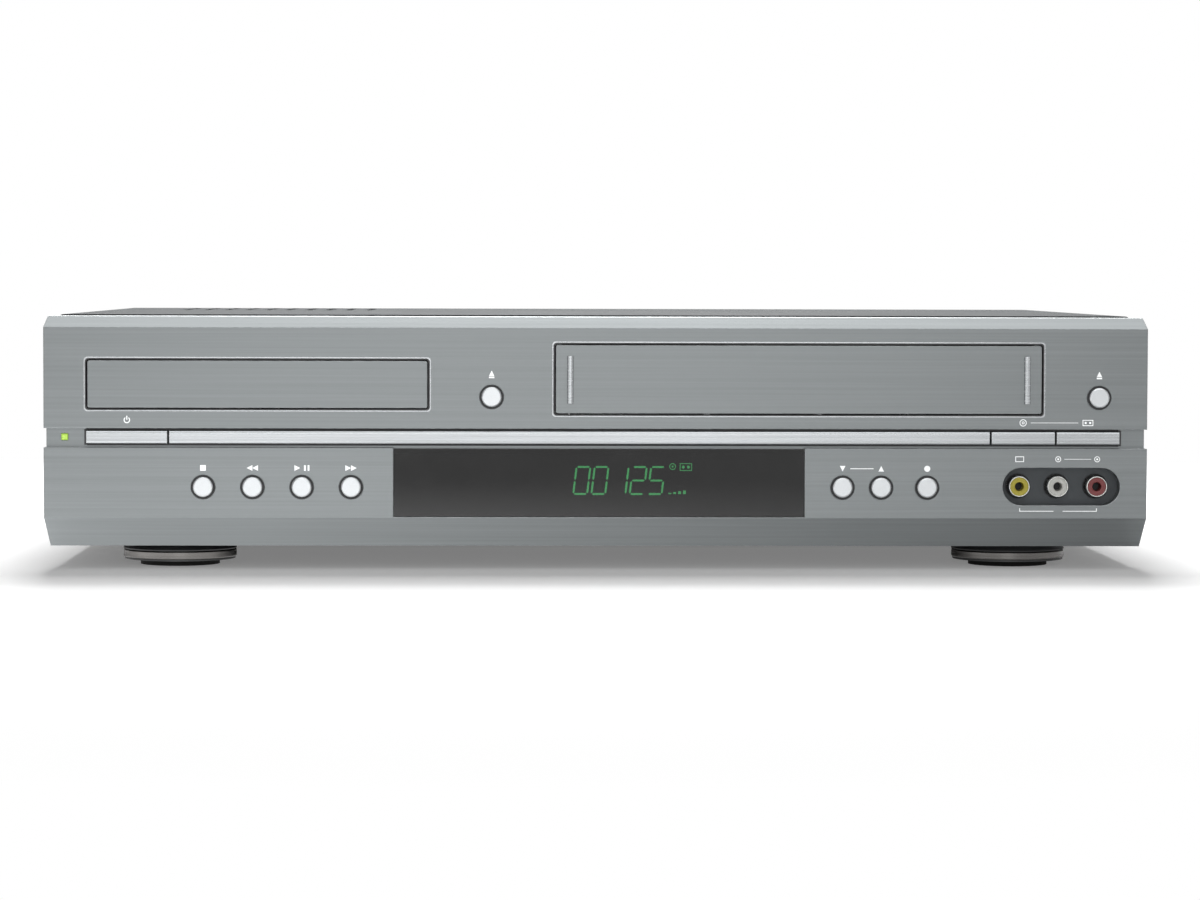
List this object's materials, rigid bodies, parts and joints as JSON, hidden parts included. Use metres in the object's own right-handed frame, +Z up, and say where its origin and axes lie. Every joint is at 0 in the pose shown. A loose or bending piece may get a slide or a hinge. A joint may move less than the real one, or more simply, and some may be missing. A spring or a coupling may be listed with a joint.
{
  "type": "dvd vcr combo player",
  "caption": "Low wide disc and video cassette player: silver fascia with tray, cassette flap, display, keys and front sockets, steel cover, four round feet.",
  "frame": {"origin": "middle of the underside, on the plane that the rubber pads stand on", "axes": "+X to the right seen from the front, +Y to the back, +Z up"},
  "size_m": [0.43, 0.325, 0.099],
  "materials": {
    "fascia_silver": "silver paint, satin",
    "bright_silver": "bright silver paint",
    "key_silver": "silver plated plastic",
    "smoke_window": "smoked acrylic, polished",
    "display_glass": "vacuum tube glass",
    "lamp": "clear green lens",
    "recess_grey": "dark grey, fine texture",
    "socket_yellow": "yellow insert in a plated barrel",
    "socket_white": "white insert in a plated barrel",
    "socket_red": "red insert in a plated barrel",
    "cover_grey": "dark grey, fine texture",
    "zinc_steel": "zinc plated sheet",
    "screw_black": "blackened",
    "foot_plastic": "silver band on dark plastic",
    "pad_rubber": "matt",
    "circuit_board": "green solder mask",
    "black_plastic": "moulded, fine texture",
    "tray_plastic": "moulded, satin",
    "gear_white": "natural acetal",
    "machined_metal": "turned",
    "plated_steel": "plated",
    "roller_rubber": "ground"
  },
  "bodies": {
    "chassis": {"chassis_pan": "zinc_steel", "rear_panel": "zinc_steel", "top_cover": "cover_grey", "cover_screws": "screw_black", "feet": "foot_plastic", "foot_pads": "pad_rubber", "fascia": "fascia_silver", "trim_bar": "bright_silver", "display_window": "smoke_window", "display_tube": "display_glass", "front_board": "circuit_board", "power_lamp": "lamp", "jack_plate": "recess_grey", "video_socket": "socket_yellow", "left_audio_socket": "socket_white", "right_audio_socket": "socket_red", "loader_frame": "black_plastic", "clamp_bridge": "zinc_steel", "loading_motors": "plated_steel", "deck_chassis": "zinc_steel", "lower_drum": "machined_metal", "main_board": "circuit_board", "power_board": "circuit_board", "tuner_box": "zinc_steel", "rear_jack_block": "black_plastic", "rear_sockets": "plated_steel", "mains_inlet": "black_plastic"},
    "tray": {"disc_tray": "tray_plastic", "tray_door": "fascia_silver"},
    "tray_gear": {"tray_gear": "gear_white"},
    "traverse": {"traverse_frame": "plated_steel", "spindle_motor": "plated_steel"},
    "turntable": {"turntable": "machined_metal"},
    "pickup": {"pickup": "plated_steel"},
    "lead_screw": {"lead_screw": "plated_steel"},
    "disc_clamp": {"disc_clamp": "black_plastic"},
    "flap": {"cassette_flap": "fascia_silver", "flap_trims": "bright_silver"},
    "slider": {"carriage_slider": "zinc_steel"},
    "basket": {"cassette_basket": "zinc_steel"},
    "head_drum": {"head_drum": "machined_metal"},
    "capstan": {"capstan": "plated_steel"},
    "supply_reel": {"supply_reel": "black_plastic"},
    "takeup_reel": {"takeup_reel": "black_plastic"},
    "pinch_arm": {"pinch_arm": "plated_steel"},
    "pinch_roller": {"pinch_roller": "roller_rubber"},
    "left_guide": {"left_guide": "black_plastic"},
    "right_guide": {"right_guide": "black_plastic"},
    "stop_key": {"stop_key": "key_silver"},
    "rewind_key": {"rewind_key": "key_silver"},
    "play_key": {"play_key": "key_silver"},
    "forward_key": {"forward_key": "key_silver"},
    "channel_down_key": {"channel_down_key": "key_silver"},
    "channel_up_key": {"channel_up_key": "key_silver"},
    "record_key": {"record_key": "key_silver"},
    "open_close_key": {"open_close_key": "key_silver"},
    "eject_key": {"eject_key": "key_silver"},
    "power_key": {"power_key": "bright_silver"},
    "disc_select_key": {"disc_select_key": "bright_silver"},
    "tape_select_key": {"tape_select_key": "bright_silver"}
  },
  "joints": [
    {"name": "tray_slide", "type": "slide", "parent": "chassis", "child": "tray", "axis": [0, -1, 0], "range_m": [0, 0.135]},
    {"name": "tray_gear_turn", "type": "hinge", "parent": "chassis", "child": "tray_gear", "pos_m": [-0.17604, -0.133, 0.066], "axis": [0, 0, 1], "continuous": true},
    {"name": "traverse_lift", "type": "hinge", "parent": "chassis", "child": "traverse", "pos_m": [-0.1321, 0.004, 0.061], "axis": [-1, 0, 0], "range_deg": [0, 4.8]},
    {"name": "turntable_spin", "type": "hinge", "parent": "traverse", "child": "turntable", "pos_m": [-0.1321, -0.08154, 0.06385], "axis": [0, -0.0837, 0.9965], "continuous": true},
    {"name": "pickup_feed", "type": "slide", "parent": "traverse", "child": "pickup", "axis": [0, 0.9965, 0.0837], "range_m": [0, 0.034]},
    {"name": "lead_screw_turn", "type": "hinge", "parent": "traverse", "child": "lead_screw", "pos_m": [-0.1081, -0.03735, 0.05151], "axis": [0, 0.9965, 0.0837], "continuous": true},
    {"name": "disc_clamp_spin", "type": "hinge", "parent": "chassis", "child": "disc_clamp", "pos_m": [-0.1321, -0.081, 0.08], "axis": [0, 0, 1], "continuous": true},
    {"name": "flap_swing", "type": "hinge", "parent": "chassis", "child": "flap", "pos_m": [0.07865, -0.1548, 0.092], "axis": [1, 0, 0], "range_deg": [0, 88], "stiffness_Nm_per_rad": 0.01, "springref_deg": -20.05},
    {"name": "carriage_in", "type": "slide", "parent": "chassis", "child": "slider", "axis": [0, 1, 0], "range_m": [0, 0.07]},
    {"name": "basket_down", "type": "slide", "parent": "slider", "child": "basket", "axis": [0, 0, -1], "range_m": [0, 0.018]},
    {"name": "head_drum_spin", "type": "hinge", "parent": "chassis", "child": "head_drum", "pos_m": [0.07865, 0.045, 0.0432], "axis": [0, 0.1028, 0.9947], "continuous": true},
    {"name": "capstan_spin", "type": "hinge", "parent": "chassis", "child": "capstan", "pos_m": [0.13865, 0.017, 0.03], "axis": [0, 0, 1], "continuous": true},
    {"name": "supply_reel_spin", "type": "hinge", "parent": "chassis", "child": "supply_reel", "pos_m": [0.03265, -0.049, 0.045], "axis": [0, 0, 1], "continuous": true},
    {"name": "takeup_reel_spin", "type": "hinge", "parent": "chassis", "child": "takeup_reel", "pos_m": [0.12465, -0.049, 0.045], "axis": [0, 0, 1], "continuous": true},
    {"name": "pinch_press", "type": "hinge", "parent": "chassis", "child": "pinch_arm", "pos_m": [0.15865, 0.035, 0.047], "axis": [0, 0, -1], "range_deg": [0, 20]},
    {"name": "pinch_roller_spin", "type": "hinge", "parent": "pinch_arm", "child": "pinch_roller", "pos_m": [0.15465, 0.013, 0.055], "axis": [0, 0, 1], "continuous": true},
    {"name": "left_guide_load", "type": "slide", "parent": "chassis", "child": "left_guide", "axis": [-0.3216, 0.9469, 0], "range_m": [0, 0.05597]},
    {"name": "right_guide_load", "type": "slide", "parent": "chassis", "child": "right_guide", "axis": [0.3216, 0.9469, 0], "range_m": [0, 0.05597]},
    {"name": "stop_key_press", "type": "slide", "parent": "chassis", "child": "stop_key", "axis": [0, 1, 0], "range_m": [0, 0.0008], "stiffness_N_per_m": 500},
    {"name": "rewind_key_press", "type": "slide", "parent": "chassis", "child": "rewind_key", "axis": [0, 1, 0], "range_m": [0, 0.0008], "stiffness_N_per_m": 500},
    {"name": "play_key_press", "type": "slide", "parent": "chassis", "child": "play_key", "axis": [0, 1, 0], "range_m": [0, 0.0008], "stiffness_N_per_m": 500},
    {"name": "forward_key_press", "type": "slide", "parent": "chassis", "child": "forward_key", "axis": [0, 1, 0], "range_m": [0, 0.0008], "stiffness_N_per_m": 500},
    {"name": "channel_down_key_press", "type": "slide", "parent": "chassis", "child": "channel_down_key", "axis": [0, 1, 0], "range_m": [0, 0.0008], "stiffness_N_per_m": 500},
    {"name": "channel_up_key_press", "type": "slide", "parent": "chassis", "child": "channel_up_key", "axis": [0, 1, 0], "range_m": [0, 0.0008], "stiffness_N_per_m": 500},
    {"name": "record_key_press", "type": "slide", "parent": "chassis", "child": "record_key", "axis": [0, 1, 0], "range_m": [0, 0.0008], "stiffness_N_per_m": 500},
    {"name": "open_close_key_press", "type": "slide", "parent": "chassis", "child": "open_close_key", "axis": [0, 1, 0], "range_m": [0, 0.0008], "stiffness_N_per_m": 500},
    {"name": "eject_key_press", "type": "slide", "parent": "chassis", "child": "eject_key", "axis": [0, 1, 0], "range_m": [0, 0.0008], "stiffness_N_per_m": 500},
    {"name": "power_key_press", "type": "slide", "parent": "chassis", "child": "power_key", "axis": [0, 1, 0], "range_m": [0, 0.0008], "stiffness_N_per_m": 500},
    {"name": "disc_select_key_press", "type": "slide", "parent": "chassis", "child": "disc_select_key", "axis": [0, 1, 0], "range_m": [0, 0.0008], "stiffness_N_per_m": 500},
    {"name": "tape_select_key_press", "type": "slide", "parent": "chassis", "child": "tape_select_key", "axis": [0, 1, 0], "range_m": [0, 0.0008], "stiffness_N_per_m": 500}
  ],
  "couplings": [
    {"joint": "tray_gear_turn", "follows": "tray_slide", "rad_per_m": 80},
    {"joint": "lead_screw_turn", "follows": "pickup_feed", "rad_per_m": 2094.4},
    {"joint": "right_guide_load", "follows": "left_guide_load", "ratio": 1}
  ]
}
